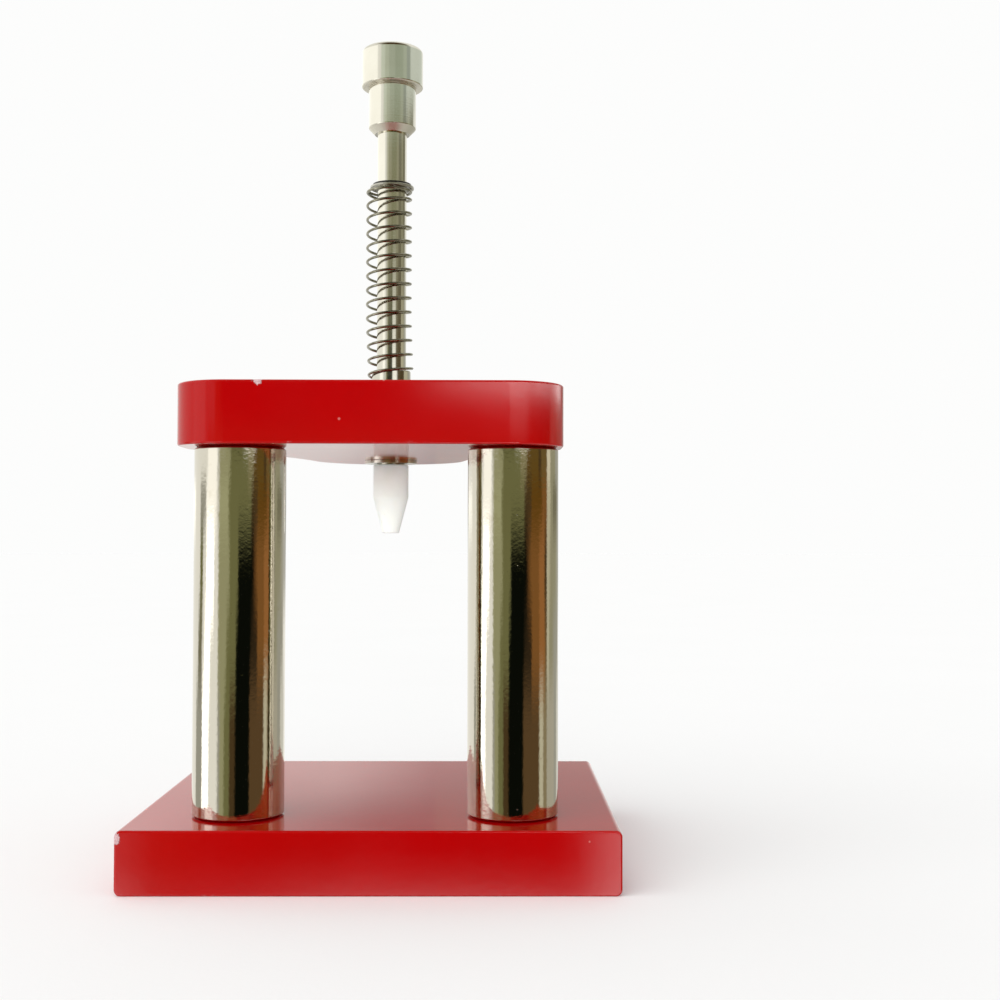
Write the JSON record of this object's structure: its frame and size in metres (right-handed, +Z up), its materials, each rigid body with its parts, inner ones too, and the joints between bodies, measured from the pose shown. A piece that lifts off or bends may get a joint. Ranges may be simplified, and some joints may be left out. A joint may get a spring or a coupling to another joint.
{
  "type": "watch press",
  "caption": "Bench press for watch work: a spring-returned palm plunger with a push-on nylon die, carried over a flat base by round posts.",
  "frame": {"origin": "centre of the base plate's underside", "axes": "+Z up along the plunger; +Y from the posts towards the plunger's nose; +X to the right seen from the posts' side"},
  "size_m": [0.07, 0.06, 0.1334],
  "materials": {
    "red_paint": "gloss red enamel, a few chips and dust nibs",
    "bright_nickel": "bright nickel plate, mirror polished",
    "turned_nickel": "turned, nickel plated",
    "zinc_steel": "zinc plated",
    "black_steel": "black oxide",
    "clip_steel": "bright rolled spring steel",
    "spring_wire": "drawn spring wire, lightly oiled",
    "nylon": "natural white nylon, turned"
  },
  "bodies": {
    "frame": {"base_plate": "red_paint", "left_post": "bright_nickel", "right_post": "bright_nickel", "top_plate": "red_paint", "base_screw_left": "zinc_steel", "base_screw_right": "zinc_steel", "top_screw_left": "zinc_steel", "top_screw_right": "zinc_steel", "guide_bush": "turned_nickel", "return_spring": "spring_wire"},
    "spring_seat": {"spring_seat_washer": "zinc_steel"},
    "plunger": {"plunger_rod": "turned_nickel", "press_knob": "turned_nickel", "knob_set_screw": "black_steel", "stop_clip": "clip_steel", "spring_clip": "black_steel"},
    "die": {"pressing_die": "nylon"}
  },
  "joints": [
    {"name": "plunger_press", "type": "slide", "parent": "frame", "child": "spring_seat", "axis": [0, 0, -1], "range_m": [0, 0.03], "stiffness_N_per_m": 70, "springref_m": -0.008, "deforming": ["return_spring"]},
    {"name": "plunger_spin", "type": "hinge", "parent": "spring_seat", "child": "plunger", "pos_m": [-0.0003, 0.0155, 0.1095], "axis": [0, 0, 1], "continuous": true},
    {"name": "die_pull_off", "type": "slide", "parent": "plunger", "child": "die", "axis": [0, 0, -1], "range_m": [0, 0.008]}
  ]
}
